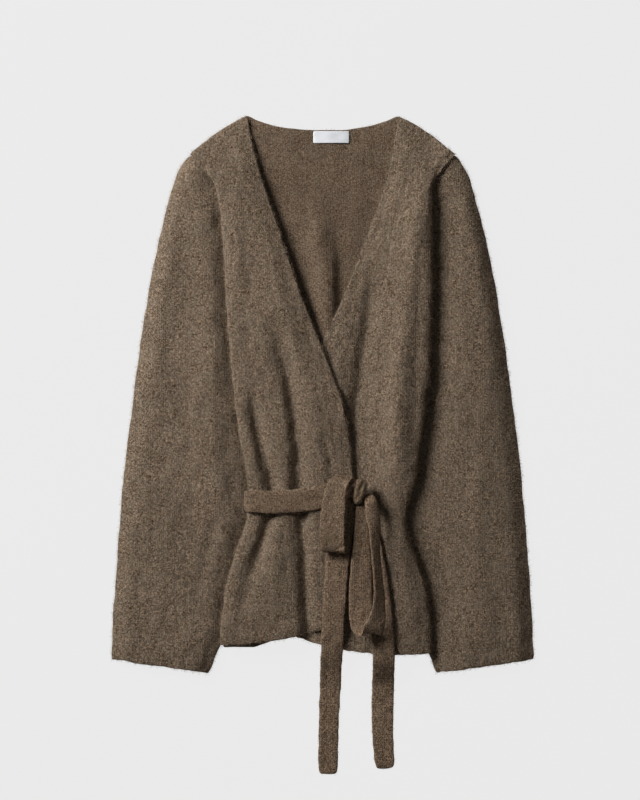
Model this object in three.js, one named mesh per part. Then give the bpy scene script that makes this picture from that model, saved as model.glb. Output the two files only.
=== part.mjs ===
// A wrap cardigan in thick brushed knit, laid out flat on its back with its tie in a bow.
// Millimetres, +Z up, +Y towards the neck, +X to the viewer's right, the floor at z = 0.
// "down" is the distance from the high shoulder points towards the hem, so y = NECK_Y - down.
// "out" is the distance from the centre line towards a panel's own side.
import * as THREE from "three";
import { mergeVertices } from "three/addons/utils/BufferGeometryUtils.js";

const { lerp, clamp, smoothstep, degToRad } = THREE.MathUtils;

// Driving sizes
const NECK_Y = 396.5; // the high shoulder points, half of the 793 mm from them to the longer tie end
const CLOTH = 3; // one layer of brushed knit
const GAP = 0.3; // between pieces at a seam
const LAID_GAP = 3 * GAP; // between layers that only lie on each other
const FLOOR_LAYER = CLOTH / 2; // middle of a layer that lies on the floor
const BACK_TOP = FLOOR_LAYER + CLOTH + GAP; // middle of a layer that lies on the back panel

const NECK_HALF = 90.5; // centre line to a high shoulder point
const SHOULDER_OUT = 160; // centre line to the shoulder tip
const SHOULDER_DOWN = 47; // drop of the shoulder seam
const SHOULDER_ROLL = 62; // the cloth rises from the shoulder seam over this distance
const SHOULDER_TIP_LAYER = 10; // middle of the front and of the sleeve head where they meet at the shoulder tip
const UNDERARM_DOWN = 270;
const CUFF_OUTER_DOWN = 655;
const CUFF_INNER_DOWN = 671;

const TUCK_LAYER = 9.9; // middle of the turned-under side, which lies on the sleeve
const SLEEVE_EDGE_LAYER = 4.8; // middle of the sleeve's upper layer at its folds
const SLEEVE_LOW_LAYER = 6.3; // the same where the body lies on it

const MELANGE = new THREE.MeshStandardMaterial({ color: 0x6b5d4e, roughness: 0.96, metalness: 0 });
const LABEL_WHITE = new THREE.MeshStandardMaterial({ color: 0xf0f1f4, roughness: 0.6, metalness: 0 });

// Tables: one row for each section of an outline

const SLEEVE_OUTER = [
  { down: 47, out: 160 },
  { down: 54, out: 166 },
  { down: 62, out: 171 },
  { down: 74, out: 176 },
  { down: 95, out: 182 },
  { down: 125, out: 190 },
  { down: 165, out: 200 },
  { down: 216, out: 209.5 },
  { down: 275, out: 218.8 },
  { down: 342, out: 227.8 },
  { down: 427, out: 238.4 },
  { down: 505, out: 245.2 },
  { down: 560, out: 249 },
  { down: 630, out: 254 },
  { down: 655, out: 254.5 },
];
const SLEEVE_INNER = [
  { down: 270, out: 86 },
  { down: 320, out: 80 },
  { down: 380, out: 78 },
  { down: 440, out: 79 },
  { down: 480, out: 84 },
  { down: 540, out: 98 },
  { down: 600, out: 112 },
  { down: 642, out: 124.5 },
  { down: 671, out: 137 },
];
const ARMHOLE = [
  { down: 47, out: 160 },
  { down: 53, out: 151.5 },
  { down: 61, out: 143.8 },
  { down: 72, out: 134.5 },
  { down: 88, out: 124.5 },
  { down: 110, out: 115.5 },
  { down: 140, out: 107 },
  { down: 180, out: 99 },
  { down: 230, out: 91 },
  { down: 270, out: 86 },
];

// Each front: where its edge and its folded side run, how high its middle layer lies at the edge,
// in the middle and at the side, and how its side rolls over. Beside it the sleeve rises again over its
// valley to the level "beyond"; round the waist, from its top to its foot, the valley is another one.
// A fold runs from its top, where it lies at "from", to its foot, where it lies at "to", bowed sideways
// by "bow". "side" is its width towards the side and "inner" towards the edge; a negative rise is a trough;
// and it fades in and out over the shares "start" and "end" of its length.
const UNDER_FOLDS = [
  { top: 40, foot: 480, from: 119, to: 84, bow: -3, side: 16, inner: 17, rise: 8, start: 0.22, end: 0.25 },
  { top: 160, foot: 470, from: 48, to: 31, bow: -3, side: 10, inner: 9, rise: -2.2, start: 0.3, end: 0.1 },
  { top: 480, foot: 640, from: 82, to: 104, bow: 0, side: 12, inner: 12, rise: 3, start: 0.3, end: 0.2 },
];
const OVER_FOLDS = [
  { top: 235, foot: 480, from: 62, to: 31.5, bow: -15, side: 9, inner: 8, rise: -8, start: 0.4, end: 0.02 },
  { top: 300, foot: 467, from: 91, to: 55, bow: 3, side: 8, inner: 9, rise: -8, start: 0.5, end: 0.02 },
  { top: 452, foot: 720, from: 26, to: 5, bow: 1.5, side: 8, inner: 8, rise: -8, start: 0.04, end: 0.2 },
  { top: 462, foot: 600, from: 57, to: 100, bow: -3, side: 7, inner: 7, rise: -6.5, start: 0.05, end: 0.6 },
];
const OVER_SLEEVE_FOLDS = [
  { top: 30, foot: 330, from: 163, to: 133, bow: -9, side: 14, inner: 14, rise: 4.2, start: 0.2, end: 0.12 },
  { top: 270, foot: 560, from: 132, to: 105, bow: 12, side: 14, inner: 14, rise: 4.2, start: 0.12, end: 0.35 },
];
const UNDER_FRONT = {
  name: "front_left",
  sign: 1,
  hemBow: 10,
  roll: { width: 22, drop: 6 },
  valley: { from: 12, to: 46, beyond: 12.6 },
  waist: { from: 12, to: 68, top: 330, full: 430, last: 580, foot: 640 },
  rows: [
    { edge: 90.5, edgeDown: 0, side: 157.4, sideDown: 46 },
    { edge: 87, edgeDown: 30, side: 141, sideDown: 61 },
    { edge: 79, edgeDown: 70, side: 131, sideDown: 86 },
    { edge: 66, edgeDown: 112, side: 131.3, sideDown: 124 },
    { edge: 46.5, edgeDown: 163, side: 132, sideDown: 174 },
    { edge: 27.5, edgeDown: 212, side: 131.5, sideDown: 222 },
    { edge: 8, edgeDown: 254, side: 130.5, sideDown: 262 },
    { edge: -13, edgeDown: 300, side: 129, sideDown: 306 },
    { edge: -26, edgeDown: 340, side: 125, sideDown: 346 },
    { edge: -34, edgeDown: 383, side: 119, sideDown: 387 },
    { edge: -37, edgeDown: 420, side: 114.5, sideDown: 424 },
    { edge: -38, edgeDown: 455, side: 107, sideDown: 456 },
    { edge: -38, edgeDown: 487, side: 98.5, sideDown: 484 },
    { edge: -37, edgeDown: 525, side: 107, sideDown: 518 },
    { edge: -36, edgeDown: 562, side: 122.5, sideDown: 562 },
    { edge: -35, edgeDown: 595, side: 129.5, sideDown: 602 },
    { edge: -34, edgeDown: 627, side: 131.5, sideDown: 646 },
  ],
  drape: [
    { down: 0, edge: 5, middle: 9, side: 10 },
    { down: 60, edge: 7, middle: 11.5, side: 13 },
    { down: 100, edge: 7.5, middle: 12.5, side: 17 },
    { down: 150, edge: 8, middle: 13.5, side: 20.5 },
    { down: 260, edge: 9.8, middle: 12.5, side: 21 },
    { down: 330, edge: 9.8, middle: 11.5, side: 21.5 },
    { down: 400, edge: 9.8, middle: 11.5, side: 21.5 },
    { down: 462, edge: 9.8, middle: 11, side: 20.5 },
    { down: 520, edge: 9.8, middle: 11, side: 21 },
    { down: 640, edge: 9.8, middle: 11, side: 18.5 },
  ],
  folds: UNDER_FOLDS,
  sleeveFolds: [],
};
const OVER_FRONT = {
  name: "front_right",
  sign: -1,
  hemBow: 5,
  roll: { width: 15, drop: 5 },
  valley: { from: -1, to: 12.5, beyond: 10.8 },
  waist: { from: -3, to: 7.5, top: 150, full: 250, last: 440, foot: 490 },
  rows: [
    { edge: 90.5, edgeDown: 0, side: 157.4, sideDown: 46 },
    { edge: 85.5, edgeDown: 30, side: 141, sideDown: 61 },
    { edge: 75, edgeDown: 70, side: 129, sideDown: 86 },
    { edge: 60.5, edgeDown: 113, side: 122, sideDown: 126 },
    { edge: 44, edgeDown: 163, side: 118, sideDown: 174 },
    { edge: 27, edgeDown: 212, side: 116, sideDown: 222 },
    { edge: 10, edgeDown: 256, side: 113, sideDown: 264 },
    { edge: -8, edgeDown: 300, side: 109.5, sideDown: 306 },
    { edge: -23, edgeDown: 340, side: 105.5, sideDown: 346 },
    { edge: -31.5, edgeDown: 383, side: 99.5, sideDown: 387 },
    { edge: -35.5, edgeDown: 420, side: 92.5, sideDown: 424 },
    { edge: -38, edgeDown: 455, side: 88.5, sideDown: 456 },
    { edge: -37, edgeDown: 487, side: 90, sideDown: 482 },
    { edge: -33, edgeDown: 525, side: 103, sideDown: 520 },
    { edge: -29, edgeDown: 562, side: 115, sideDown: 562 },
    { edge: -24, edgeDown: 590, side: 121.5, sideDown: 602 },
    { edge: -20, edgeDown: 612, side: 124, sideDown: 637 },
  ],
  drape: [
    { down: 0, edge: 5, middle: 9, side: 10 },
    { down: 60, edge: 10, middle: 12.5, side: 12.5 },
    { down: 150, edge: 13, middle: 16.5, side: 16.5 },
    { down: 260, edge: 15.5, middle: 19, side: 17.5 },
    { down: 330, edge: 17, middle: 20, side: 18 },
    { down: 400, edge: 18, middle: 21, side: 18 },
    { down: 462, edge: 17.3, middle: 19, side: 16.5 },
    { down: 520, edge: 16.5, middle: 20.5, side: 18 },
    { down: 640, edge: 14, middle: 18, side: 16 },
  ],
  folds: OVER_FOLDS,
  sleeveFolds: OVER_SLEEVE_FOLDS,
  lies: UNDER_FRONT,
};

// The stretches of the two ties: the middle line of the strip, its width, its tilt about that line,
// and how far its middle is pinched up between its edges.
const TIE_BAND = [
  { x: -93.2, down: 463, z: 13.5, width: 24, tilt: 0, pinch: 0 },
  { x: -90.5, down: 463, z: 19, width: 25, tilt: 0, pinch: 0 },
  { x: -84, down: 463.5, z: 22, width: 26, tilt: 0, pinch: 0 },
  { x: -60, down: 464, z: 23, width: 28, tilt: 0, pinch: 0 },
  { x: -27, down: 462, z: 23, width: 28.5, tilt: 0, pinch: 0 },
  { x: 4, down: 457, z: 22.5, width: 28, tilt: 0, pinch: 0 },
  { x: 22, down: 453, z: 22.4, width: 24, tilt: 0, pinch: 0 },
  { x: 34, down: 451, z: 22.2, width: 18, tilt: 0, pinch: 0 },
  { x: 43, down: 450, z: 22.2, width: 14, tilt: 0, pinch: 0 },
];
const LOOP_LEFT = [
  { x: 36, down: 442, z: 34, width: 12, tilt: 0, pinch: 1.5 },
  { x: 28.5, down: 438, z: 36.5, width: 19, tilt: 0, pinch: 1 },
  { x: 19.5, down: 441.5, z: 38.5, width: 24.5, tilt: 4, pinch: 0.6 },
  { x: 14.8, down: 455, z: 39.3, width: 27, tilt: 6, pinch: 0.6 },
  { x: 12.4, down: 475, z: 39.5, width: 29.6, tilt: 6, pinch: 0.6 },
  { x: 11.6, down: 502, z: 39.3, width: 30.4, tilt: 5, pinch: 0.4 },
  { x: 12.2, down: 516, z: 37.8, width: 30.2, tilt: 3, pinch: 0.2 },
  { x: 14.6, down: 521.7, z: 33.5, width: 29.4, tilt: 0, pinch: 0 },
  { x: 18, down: 515, z: 29.9, width: 28.4, tilt: -5, pinch: 0 },
  { x: 20.7, down: 492, z: 29.4, width: 27, tilt: -7, pinch: 0 },
  { x: 24.5, down: 474, z: 29.3, width: 19, tilt: -4, pinch: 0 },
  { x: 28.5, down: 460, z: 29.3, width: 12, tilt: 0, pinch: 0 },
];
const LOOP_RIGHT = [
  { x: 45, down: 468, z: 28.7, width: 11, tilt: 0, pinch: 0 },
  { x: 46, down: 484, z: 28.5, width: 15, tilt: -4, pinch: 0 },
  { x: 47, down: 508, z: 28.3, width: 20, tilt: -6, pinch: 0 },
  { x: 46.6, down: 534, z: 28, width: 25, tilt: -7, pinch: 0 },
  { x: 45.2, down: 566, z: 27.4, width: 28, tilt: -7, pinch: 0 },
  { x: 45.4, down: 594, z: 27.2, width: 28.8, tilt: -6, pinch: 0 },
  { x: 47.2, down: 609.5, z: 29.8, width: 29.4, tilt: -7, pinch: 0 },
  { x: 54.6, down: 618.5, z: 33, width: 30, tilt: 0, pinch: 0 },
  { x: 62.6, down: 611.5, z: 36.2, width: 26.5, tilt: 12, pinch: 0 },
  { x: 66.4, down: 596, z: 36.4, width: 20.5, tilt: 26, pinch: 0 },
  { x: 67.6, down: 577, z: 36.8, width: 16.5, tilt: 34, pinch: 0 },
  { x: 66.2, down: 555, z: 37, width: 14.5, tilt: 38, pinch: 0 },
  { x: 64.4, down: 538, z: 37.4, width: 13.5, tilt: 38, pinch: 0 },
  { x: 63.2, down: 522, z: 37.8, width: 13.5, tilt: 36, pinch: 0 },
  { x: 62.4, down: 508, z: 38.2, width: 14.5, tilt: 32, pinch: 0.5 },
  { x: 61.4, down: 492, z: 38.6, width: 16.5, tilt: 26, pinch: 1 },
  { x: 59.8, down: 476, z: 38.4, width: 18, tilt: 18, pinch: 1.5 },
  { x: 57.8, down: 463, z: 37.2, width: 15.5, tilt: 10, pinch: 1.5 },
  { x: 55.6, down: 456, z: 34.5, width: 9.5, tilt: 0, pinch: 1 },
];
const TIE_END_LEFT = [
  { x: 36, down: 474, z: 24.6, width: 15, tilt: 0, pinch: 0 },
  { x: 27, down: 492, z: 23.8, width: 22, tilt: 0, pinch: 0 },
  { x: 20, down: 520, z: 23, width: 29, tilt: 0, pinch: 0 },
  { x: 15, down: 572, z: 22.4, width: 28, tilt: 0, pinch: 0 },
  { x: 12.5, down: 612, z: 20.4, width: 27.5, tilt: 0, pinch: 0 },
  { x: 11.5, down: 640, z: 15.6, width: 27, tilt: 0, pinch: 0 },
  { x: 10.5, down: 656, z: 10, width: 26.5, tilt: 0, pinch: 0 },
  { x: 9.5, down: 678, z: 3, width: 26, tilt: 0, pinch: 0 },
  { x: 8.8, down: 696, z: 1.5, width: 25.5, tilt: 0, pinch: 0 },
  { x: 7.5, down: 730, z: 1.5, width: 24.5, tilt: 0, pinch: 0 },
  { x: 6.5, down: 792.8, z: 1.5, width: 24, tilt: 0, pinch: 0 },
];
const TIE_END_RIGHT = [
  { x: 51.5, down: 476, z: 24.8, width: 13, tilt: 0, pinch: 0 },
  { x: 55, down: 498, z: 24.4, width: 20, tilt: 0, pinch: 0 },
  { x: 60, down: 524, z: 23.6, width: 25, tilt: 0, pinch: 0 },
  { x: 65, down: 556, z: 22.8, width: 27, tilt: 0, pinch: 0 },
  { x: 69, down: 586, z: 22, width: 27, tilt: 0, pinch: 0 },
  { x: 71.8, down: 612, z: 20.6, width: 27, tilt: 0, pinch: 0 },
  { x: 73.2, down: 640, z: 20.2, width: 27, tilt: 0, pinch: 0 },
  { x: 73.4, down: 656, z: 18.6, width: 27, tilt: 0, pinch: 0 },
  { x: 73, down: 674, z: 7, width: 27, tilt: 0, pinch: 0 },
  { x: 72.8, down: 688, z: 2.2, width: 27, tilt: 0, pinch: 0 },
  { x: 72.4, down: 700, z: 1.5, width: 27, tilt: 0, pinch: 0 },
  { x: 72, down: 735, z: 1.5, width: 26, tilt: 0, pinch: 0 },
  { x: 75.5, down: 786, z: 1.5, width: 24, tilt: 0, pinch: 0 },
];
const KNOT = {
  x: 44.3,
  down: 451,
  z: 33,
  halfWidth: 7.2,
  halfLength: 14.5,
  halfHeight: 9,
  lean: -10,
  taper: 0.25,
};
const LABEL = { x: 10.5, down: 26, width: 43.5, length: 14.5, thickness: 0.6 };

// Reading the tables

// A smooth curve through a table's rows: the value of one column where another column has the value "at".
function read(table, key, column, at) {
  const last = table.length - 1;
  if (at <= table[0][key]) return table[0][column];
  if (at >= table[last][key]) return table[last][column];
  let i = 0;
  while (table[i + 1][key] < at) i += 1;
  const rate = (j) => (table[j + 1][column] - table[j][column]) / (table[j + 1][key] - table[j][key]);
  const slope = (j) => {
    const before = rate(Math.max(j - 1, 0));
    const after = rate(Math.min(j, last - 1));
    return before * after > 0 ? (2 * before * after) / (before + after) : 0;
  };
  const from = table[i];
  const to = table[i + 1];
  const span = to[key] - from[key];
  const t = (at - from[key]) / span;
  const u = 1 - t;
  return (
    from[column] * u * u * (1 + 2 * t) +
    to[column] * t * t * (1 + 2 * u) +
    slope(i) * span * t * u * u -
    slope(i + 1) * span * t * t * u
  );
}

// Numbers a table's rows, so that it can be read by row.
const numbered = (table) => table.map((row, index) => ({ ...row, row: index }));

for (const panel of [UNDER_FRONT, OVER_FRONT]) panel.rows = numbered(panel.rows);

const softMax = (a, b, blend) => (a + b + Math.hypot(a - b, blend)) / 2;

// Heights

const EDGE_RISE = 0.32; // share of a front's width over which it rises from its edge
const SIDE_RISE = { from: 0.55, to: 0.92 }; // shares between which it takes its side's level
const ROLL_DOWN = { from: 70, to: 150 }; // the side's roll grows between these
const TIP_RISE = 0.5; // share of the shoulder from which its seam rises towards the tip
const COVER_FROM = 16; // the over-front rises onto the under-front between these,
const COVER_TO = 5; // both outside the under-front's edge
const COVER_BLEND = 1.2;

function foldHeight(fold, out, down) {
  const t = (down - fold.top) / (fold.foot - fold.top);
  if (t <= 0 || t >= 1) return 0;
  const centre = lerp(fold.from, fold.to, t) + fold.bow * 4 * t * (1 - t);
  const fade = smoothstep(t, 0, fold.start) * (1 - smoothstep(t, 1 - fold.end, 1));
  const width = out > centre ? fold.side : fold.inner;
  return fold.rise * fade * Math.exp(-(((out - centre) / width) ** 2));
}

const foldsHeight = (folds, out, down) => folds.reduce((sum, fold) => sum + foldHeight(fold, out, down), 0);

// How far down the shoulder's outline lies: from the neck to the tip, a little rounded.
const SHOULDER_BOW = 4.5;
const bowed = (share) => SHOULDER_BOW * 4 * share * (1 - share);

function shoulderDown(out) {
  const share = clamp((out - NECK_HALF) / (SHOULDER_OUT - NECK_HALF), 0, 1);
  return SHOULDER_DOWN * share - bowed(share);
}

// Height of a front's middle layer at a place in plan.
function frontHeight(panel, out, down) {
  const edge = read(panel.rows, "edgeDown", "edge", down);
  const side = read(panel.rows, "sideDown", "side", down);
  const across = clamp((out - edge) / (side - edge), 0, 1);
  const level = (column) => read(panel.drape, "down", column, down);
  let height = lerp(level("edge"), level("middle"), smoothstep(across, 0, EDGE_RISE));
  height = lerp(height, level("side"), smoothstep(across, SIDE_RISE.from, SIDE_RISE.to));
  height += foldsHeight(panel.folds, out, down);
  const over = clamp((out - side) / panel.roll.width + 1, 0, 1);
  height -= panel.roll.drop * (1 - Math.sqrt(1 - over ** 2)) * smoothstep(down, ROLL_DOWN.from, ROLL_DOWN.to);
  const alongShoulder = clamp((out - NECK_HALF) / (SHOULDER_OUT - NECK_HALF), 0, 1);
  const seam = lerp(BACK_TOP, SHOULDER_TIP_LAYER, smoothstep(alongShoulder, TIP_RISE, 1));
  height = lerp(seam, height, Math.sqrt(smoothstep(down - shoulderDown(out), 0, SHOULDER_ROLL)));
  if (!panel.lies) return height;
  const below = panel.lies;
  const belowEdge = read(below.rows, "edgeDown", "edge", down);
  const rest = frontHeight(below, -out, down) + CLOTH + LAID_GAP;
  const covered = smoothstep(-out, belowEdge - COVER_FROM, belowEdge - COVER_TO);
  return lerp(height, softMax(height, rest, COVER_BLEND), covered);
}

// The sleeve's head sits close to the front, so it rises steeply there, outwards from the front's side
// between "from" and "to". "round" is how wide its rise from the outer fold is.
const HEAD = { down: 56, from: -6, to: 2, round: 8 };
const BELOW_HEAD = { down: 74, round: 18 };
const FULL_DOWN = 115; // the sleeve is at its fullest from here
const EDGE_SOFT = 12; // the upper layer leaves a fold over this distance
const HEM_ABOVE = 25; // the body stops holding the sleeve down between these
const HEM_BELOW = 10; // distances above and below the front's hem

// Height of a sleeve's upper layer at a place in plan, beside the front of its own side.
function sleeveHeight(panel, out, down, fromOuter, fromInner) {
  const side = read(panel.rows, "sideDown", "side", down);
  const hem = panel.rows.at(-1).sideDown;
  const belowHead = smoothstep(down, HEAD.down, BELOW_HEAD.down);
  const { valley, waist } = panel;
  const atWaist = smoothstep(down, waist.top, waist.full) * (1 - smoothstep(down, waist.last, waist.foot));
  const besideBody = smoothstep(
    out - side,
    lerp(HEAD.from, lerp(valley.from, waist.from, atWaist), belowHead),
    lerp(HEAD.to, lerp(valley.to, waist.to, atWaist), belowHead),
  );
  const belowHem = smoothstep(down, hem - HEM_ABOVE, hem + HEM_BELOW);
  const full = smoothstep(down, HEAD.down, FULL_DOWN);
  const outerRound = smoothstep(fromOuter, 0, lerp(HEAD.round, BELOW_HEAD.round, full));
  const rise = outerRound * lerp(besideBody, smoothstep(fromInner, 0, BELOW_HEAD.round), belowHem);
  const offFolds = smoothstep(fromInner, 0, EDGE_SOFT) * smoothstep(fromOuter, 0, EDGE_SOFT);
  const low = lerp(SLEEVE_EDGE_LAYER, SLEEVE_LOW_LAYER, offFolds);
  const fullest = lerp(SHOULDER_TIP_LAYER, valley.beyond, full);
  return low + rise * (fullest - SLEEVE_LOW_LAYER + foldsHeight(panel.sleeveFolds, out, down));
}

// Solids from grids of points

const place = (x, down, z) => new THREE.Vector3(x, NECK_Y - down, z);

// Unit normals of a grid of points; round says that the last column joins the first.
function gridNormals(grid, round) {
  const rows = grid.length;
  const cols = grid[0].length;
  const step = (i, count) => (round ? (i + count) % count : clamp(i, 0, count - 1));
  return grid.map((line, r) =>
    line.map((_, c) => {
      const along = grid[Math.min(r + 1, rows - 1)][c].clone().sub(grid[Math.max(r - 1, 0)][c]);
      const across = grid[r][step(c + 1, cols)].clone().sub(grid[r][step(c - 1, cols)]);
      return across.cross(along).normalize();
    }),
  );
}

// A closed wall of even thickness about a grid of middle points: both faces and the rim.
function wall(grid, thickness, round = false) {
  const rows = grid.length;
  const cols = grid[0].length;
  const normals = gridNormals(grid, round);
  const points = [];
  for (const side of [1, -1]) {
    grid.forEach((line, r) =>
      line.forEach((p, c) => points.push(p.clone().addScaledVector(normals[r][c], (side * thickness) / 2))),
    );
  }
  const top = (r, c) => r * cols + (c % cols);
  const under = (r, c) => rows * cols + top(r, c);
  const faces = [];
  const quad = (a, b, c, d) => faces.push(a, b, c, a, c, d);
  const lastCol = round ? cols : cols - 1;
  for (let r = 0; r < rows - 1; r += 1) {
    for (let c = 0; c < lastCol; c += 1) {
      quad(top(r, c), top(r, c + 1), top(r + 1, c + 1), top(r + 1, c));
      quad(under(r, c), under(r + 1, c), under(r + 1, c + 1), under(r, c + 1));
    }
    if (!round) {
      quad(top(r, 0), top(r + 1, 0), under(r + 1, 0), under(r, 0));
      quad(top(r + 1, lastCol), top(r, lastCol), under(r, lastCol), under(r + 1, lastCol));
    }
  }
  for (let c = 0; c < lastCol; c += 1) {
    quad(top(0, c + 1), top(0, c), under(0, c), under(0, c + 1));
    quad(top(rows - 1, c), top(rows - 1, c + 1), under(rows - 1, c + 1), under(rows - 1, c));
  }
  const geometry = new THREE.BufferGeometry();
  geometry.setAttribute("position", new THREE.Float32BufferAttribute(points.flatMap((p) => p.toArray()), 3));
  geometry.setIndex(faces);
  return facingOut(geometry);
}

// Turns a closed surface's faces outwards.
function facingOut(geometry) {
  const position = geometry.getAttribute("position");
  const index = geometry.getIndex().array;
  const corner = (i) => new THREE.Vector3().fromBufferAttribute(position, index[i]);
  let volume = 0;
  for (let i = 0; i < index.length; i += 3) volume += corner(i).dot(corner(i + 1).cross(corner(i + 2)));
  if (volume < 0) {
    for (let i = 0; i < index.length; i += 3) [index[i + 1], index[i + 2]] = [index[i + 2], index[i + 1]];
  }
  return geometry;
}

const piece = (name, geometry, material) => {
  const mesh = new THREE.Mesh(geometry, material);
  mesh.name = name;
  return mesh;
};

// A front: its face from the edge to the side fold, the fold's curl, and the turned-under side

const FRONT_ROWS = 30;
const FACE_STEPS = 25;
const CURL_STEPS = 5;
const CURL_TRIES = 6; // rounds in which the curl's radius and its start settle
const LEAST_CURL = 4; // length of the curl where the side is barely turned
const LEAST_RADIUS = 1.8;
const BARELY_TURNED = 8; // degrees, at the shoulder
const TURN_ROWS = { from: 0.9, to: 2.6 }; // the side turns under between these rows of the panel's table
const TUCKED_ROWS = { level: 1, from: 1.2, to: 3 }; // it reaches its layer and its place between these
const TUCK_STEP = 0.6; // least distance between the points of the turned-under side
const TUCK_PAST = { from: UNDERARM_DOWN + 10, to: UNDERARM_DOWN + 50 }; // from the armhole to the side seam
const TUCK_DROP = { from: -7.5, to: -1.5 }; // it drops onto the back between these, inside the sleeve's fold
const SHOULDER_SHARE = 0.12; // share over which its upper rows follow the shoulder's outline
const HEM_CURVE = 0.86; // share of the front's length from which its lower rows bow

// How far outside the armhole seam, or outside the sleeve's inner fold below it, the points of the
// turned-under side lie.
const TUCK = [
  { armhole: 14, side: 14 },
  { armhole: 11, side: -1 },
  { armhole: 8, side: -4 },
  { armhole: 5, side: -7 },
  { armhole: 2, side: -11 },
];

function frontRow(panel, v) {
  const row = v * (panel.rows.length - 1);
  const at = (column) => read(panel.rows, "row", column, row);
  const edge = at("edge");
  const edgeDown = at("edgeDown");
  const side = at("side");
  const sideDown = at("sideDown");
  const bow = panel.hemBow * smoothstep(v, HEM_CURVE, 1);
  const atShoulder = 1 - smoothstep(v, 0, SHOULDER_SHARE);
  const downAt = (out) => {
    const across = clamp((out - edge) / (side - edge), 0, 1);
    return lerp(edgeDown, sideDown, across) + bow * 4 * across * (1 - across) - atShoulder * bowed(across);
  };
  const turned = smoothstep(row, TUCKED_ROWS.from, TUCKED_ROWS.to);
  const downOf = (out) => lerp(downAt(out), sideDown, turned);
  const turn = degToRad(lerp(BARELY_TURNED, 180, smoothstep(row, TURN_ROWS.from, TURN_ROWS.to)));
  let radius = LEAST_RADIUS;
  let lean = 0;
  let start = 0;
  let startZ = 0;
  for (let i = 0; i < CURL_TRIES; i += 1) {
    start = side - CLOTH / 2 - radius * (Math.sin(Math.min(turn, Math.PI / 2)) - Math.sin(lean));
    startZ = frontHeight(panel, start, sideDown);
    lean = clamp(Math.atan(frontHeight(panel, start - 1, sideDown) - startZ), 0, turn / 2);
    radius = Math.max((startZ - TUCK_LAYER) / (1 + Math.cos(lean)), LEAST_RADIUS, LEAST_CURL / turn);
  }
  const line = [];
  for (let i = 0; i < FACE_STEPS; i += 1) {
    const out = lerp(edge, start, i / FACE_STEPS);
    const down = downAt(out);
    line.push(place(panel.sign * out, down, frontHeight(panel, out, down)));
  }
  for (let i = 0; i <= CURL_STEPS; i += 1) {
    const angle = lerp(lean, turn, i / CURL_STEPS);
    const out = start + radius * (Math.sin(angle) - Math.sin(lean));
    line.push(place(panel.sign * out, downOf(out), startZ - radius * (Math.cos(lean) - Math.cos(angle))));
  }
  const curlOut = start + radius * (Math.sin(turn) - Math.sin(lean));
  const curlZ = startZ - radius * (Math.cos(lean) - Math.cos(turn));
  const seam = read(ARMHOLE, "down", "out", sideDown);
  const inner = read(SLEEVE_INNER, "down", "out", sideDown);
  const past = smoothstep(sideDown, TUCK_PAST.from, TUCK_PAST.to);
  const level = lerp(curlZ, Math.max(curlZ, TUCK_LAYER), smoothstep(row, TUCKED_ROWS.level, TUCKED_ROWS.from));
  TUCK.forEach((point, i) => {
    const step = (i + 1) * TUCK_STEP;
    const atArmhole = Math.min(seam + point.armhole, curlOut - step);
    const atSide = Math.min(inner + point.side, curlOut - step);
    const out = lerp(curlOut + Math.cos(turn) * step, lerp(atArmhole, atSide, past), turned);
    const onSleeve = smoothstep(out, inner + TUCK_DROP.from, inner + TUCK_DROP.to);
    line.push(place(panel.sign * out, downOf(out), level - (TUCK_LAYER - BACK_TOP) * (1 - onSleeve) * past));
  });
  return line;
}

function front(panel) {
  const grid = [];
  for (let r = 0; r <= FRONT_ROWS; r += 1) grid.push(frontRow(panel, r / FRONT_ROWS));
  return piece(panel.name, wall(grid, CLOTH), MELANGE);
}

// A sleeve: a flattened tube of rings, the first along the armhole and the last along the cuff

const SLEEVE_RINGS = 17;
const RING_UPPER = 19;
const RING_LOWER = 6;
const RING_EDGE = 4;

const OUTER_PACE = 1.25; // the rings crowd along the outer fold's upper end, where it curves
const SEAM_PACE = 1.3; // and the first ring's points along the armhole's
const SEAM_REACH = 0.42; // the rings take the armhole's curve as far as this share of the sleeve

// Where a point of a sleeve lies in plan, from its outer fold (across 0) to its inner fold (across 1).
function sleevePlan(station, across) {
  const outerDown = lerp(SHOULDER_DOWN, CUFF_OUTER_DOWN, station ** OUTER_PACE);
  const innerDown = lerp(UNDERARM_DOWN, CUFF_INNER_DOWN, station);
  const outer = [read(SLEEVE_OUTER, "down", "out", outerDown), outerDown];
  const inner = [read(SLEEVE_INNER, "down", "out", innerDown), innerDown];
  const seamDown = lerp(SHOULDER_DOWN, UNDERARM_DOWN, across ** SEAM_PACE);
  const seamOut = read(ARMHOLE, "down", "out", seamDown);
  const bulge = 1 - smoothstep(station, 0, SEAM_REACH);
  const asideOut = seamOut - lerp(SHOULDER_OUT, ARMHOLE.at(-1).out, across);
  const asideDown = seamDown - lerp(SHOULDER_DOWN, UNDERARM_DOWN, across);
  return {
    out: lerp(outer[0], inner[0], across) + bulge * asideOut,
    down: lerp(outer[1], inner[1], across) + bulge * asideDown,
  };
}

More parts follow.
